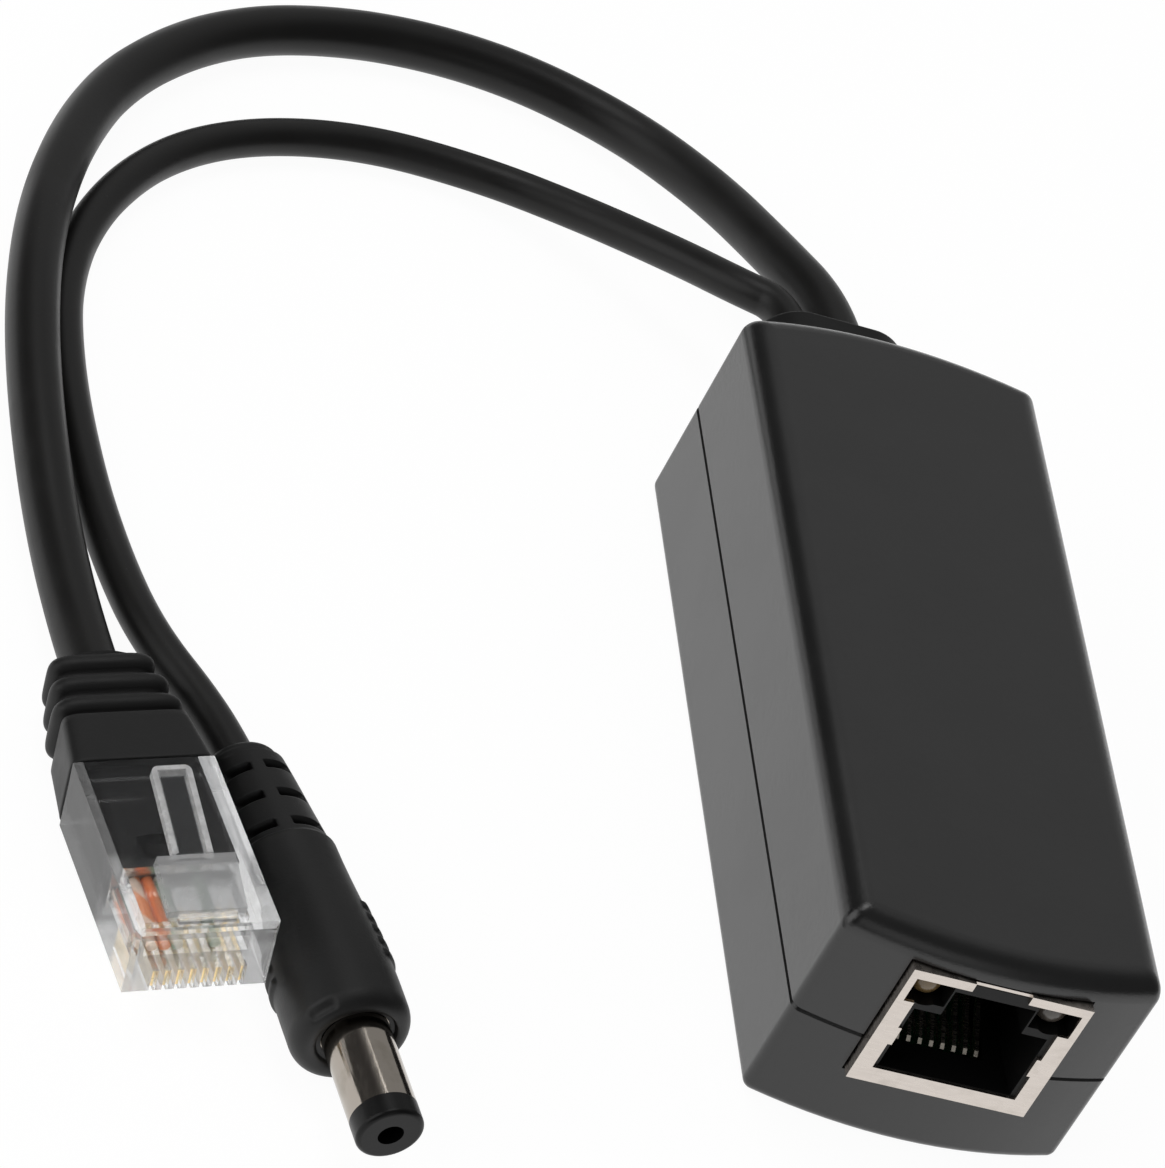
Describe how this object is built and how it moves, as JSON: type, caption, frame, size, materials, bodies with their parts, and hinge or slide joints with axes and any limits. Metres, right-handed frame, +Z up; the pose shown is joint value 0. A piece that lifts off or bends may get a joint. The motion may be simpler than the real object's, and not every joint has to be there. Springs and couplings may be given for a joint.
{
  "type": "poe splitter",
  "caption": "Power-over-Ethernet splitter: a small case with a shielded modular jack in one end, and a network lead and a low-voltage lead with their plugs at the other.",
  "frame": {"origin": "centre of the case's flat underside, midway between its bulged ends", "axes": "+X across the case, +Y from the jack to the leads, +Z up from the underside"},
  "size_m": [0.0912, 0.1482, 0.0218],
  "materials": {
    "case_black": "satin",
    "tinned_steel": "satin",
    "insulator_black": "satin",
    "gilt_contact": "polished",
    "lamp_amber": "gloss",
    "lamp_clear": "gloss",
    "board_green": "gloss",
    "component_black": "matte",
    "ferrite": "matte",
    "bobbin_plastic": "matte",
    "winding_tape": "satin",
    "capacitor_can": "satin",
    "chip_ceramic": "matte",
    "chip_resistor": "matte",
    "cord_jacket": "satin",
    "relief_rubber": "satin",
    "wire_red": "satin",
    "wire_mixed": "satin",
    "clear_plastic": "gloss",
    "boot_rubber": "satin",
    "wire_white_orange": "satin",
    "wire_orange": "satin",
    "wire_white_green": "satin",
    "wire_green": "satin",
    "grip_rubber": "satin",
    "nickel": "polished",
    "plug_black": "gloss"
  },
  "bodies": {
    "splitter": {"lower_shell": "case_black", "upper_shell": "case_black", "circuit_board": "board_green", "jack_shield": "tinned_steel", "jack_insulator": "insulator_black", "jack_contacts": "gilt_contact", "jack_lamp_left": "lamp_amber", "jack_lamp_right": "lamp_clear", "signal_transformer": "component_black", "transformer_core": "ferrite", "transformer_bobbin": "bobbin_plastic", "transformer_winding": "winding_tape", "input_capacitor": "capacitor_can", "output_capacitor_left": "capacitor_can", "output_capacitor_right": "capacitor_can", "output_choke": "ferrite", "bridge_rectifier_left": "component_black", "bridge_rectifier_right": "component_black", "power_controller": "component_black", "optocoupler": "component_black", "output_diode": "component_black", "chip_resistors": "chip_resistor", "chip_capacitors": "chip_ceramic", "cord_strain_relief": "relief_rubber", "network_board_wires": "wire_mixed", "dc_board_wires": "wire_red", "network_cord": "cord_jacket", "dc_cord": "cord_jacket", "plug_boot": "boot_rubber", "plug_body": "clear_plastic", "plug_contacts": "gilt_contact", "conductor_white_orange": "wire_white_orange", "conductor_orange": "wire_orange", "conductor_white_green": "wire_white_green", "conductor_green": "wire_green", "dc_plug_grip": "grip_rubber", "dc_plug_barrel": "nickel", "dc_plug_insulator": "plug_black", "dc_plug_centre_contact": "nickel"},
    "latch": {"plug_latch": "clear_plastic"}
  },
  "joints": [
    {"name": "latch_press", "type": "hinge", "parent": "splitter", "child": "latch", "pos_m": [-0.06428, -0.04126, 0.00978], "axis": [0.9623, 0.213, 0.169], "range_deg": [-12, 0], "stiffness_Nm_per_rad": 0.02}
  ]
}
